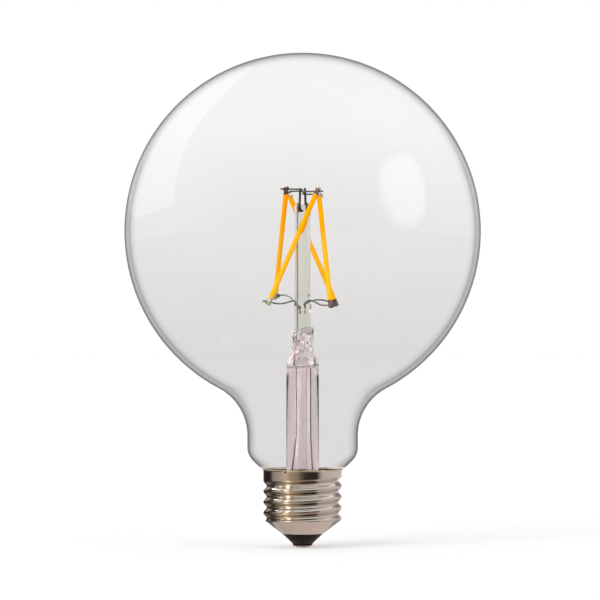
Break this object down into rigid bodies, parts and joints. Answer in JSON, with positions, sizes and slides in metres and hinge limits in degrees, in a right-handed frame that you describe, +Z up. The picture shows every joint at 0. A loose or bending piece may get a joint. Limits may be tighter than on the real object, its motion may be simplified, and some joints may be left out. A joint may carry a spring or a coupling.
{
  "type": "globe bulb",
  "caption": "Clear globe lamp with filament rods on a glass stem and a nickel-plated screw cap.",
  "frame": {"origin": "the lowest point of the cap's centre contact, on the lamp's axis", "axes": "+Z up the lamp's axis from the cap to the globe; -Y is the front"},
  "size_m": [0.12, 0.12, 0.1665],
  "materials": {
    "clear_glass": "clear blown glass",
    "stem_glass": "clear glass tube with a faint pink cast",
    "rod_glass": "clear glass rod with a faint green cast",
    "nickel_plate": "bright nickel plating",
    "black_glass": "black vitreous insulator",
    "brass_plate": "plain stamped brass",
    "solder": "dull tin solder",
    "cement": "matt capping cement",
    "nickel_wire": "dark drawn wire",
    "tinned_wire": "tinned wire",
    "copper_seal": "red borated copper wire",
    "phosphor": "silicone with orange phosphor",
    "strip_ceramic": "white ceramic strip",
    "tab_metal": "heat-tinted metal tab",
    "circuit_board": "white solder-masked laminate",
    "moulded_package": "black moulded package",
    "capacitor_sleeve": "dark shrink sleeve",
    "resistor_body": "green lacquer"
  },
  "bodies": {
    "root": {"anchor_seal_left": "copper_seal", "anchor_seal_right": "copper_seal", "bottom_anchor_left": "nickel_wire", "bottom_anchor_right": "nickel_wire", "bridge_rectifier": "moulded_package", "cap_cement": "cement", "cap_contact": "brass_plate", "cap_insulator": "black_glass", "cap_shell": "nickel_plate", "contact_solder": "solder", "current_chip": "moulded_package", "driver_board": "circuit_board", "exhaust_tube": "stem_glass", "filament_coating_1": "phosphor", "filament_coating_2": "phosphor", "filament_coating_3": "phosphor", "filament_coating_4": "phosphor", "filament_strip_1": "strip_ceramic", "filament_strip_2": "strip_ceramic", "filament_strip_3": "strip_ceramic", "filament_strip_4": "strip_ceramic", "filament_tab_foot_1": "tab_metal", "filament_tab_foot_2": "tab_metal", "filament_tab_foot_3": "tab_metal", "filament_tab_foot_4": "tab_metal", "filament_tab_top_1": "tab_metal", "filament_tab_top_2": "tab_metal", "filament_tab_top_3": "tab_metal", "filament_tab_top_4": "tab_metal", "fuse_resistor": "resistor_body", "glass_envelope": "clear_glass", "lead_inner_left": "nickel_wire", "lead_inner_right": "nickel_wire", "lead_outer_left": "tinned_wire", "lead_outer_right": "tinned_wire", "lead_seal_left": "copper_seal", "lead_seal_right": "copper_seal", "live_wire": "tinned_wire", "side_solder": "solder", "side_wire": "tinned_wire", "smoothing_capacitor": "capacitor_sleeve", "stem_flare": "stem_glass", "support_rod": "rod_glass", "top_crossbar_left": "nickel_wire", "top_crossbar_right": "nickel_wire", "top_post_left": "nickel_wire", "top_post_right": "nickel_wire"}
  },
  "joints": []
}
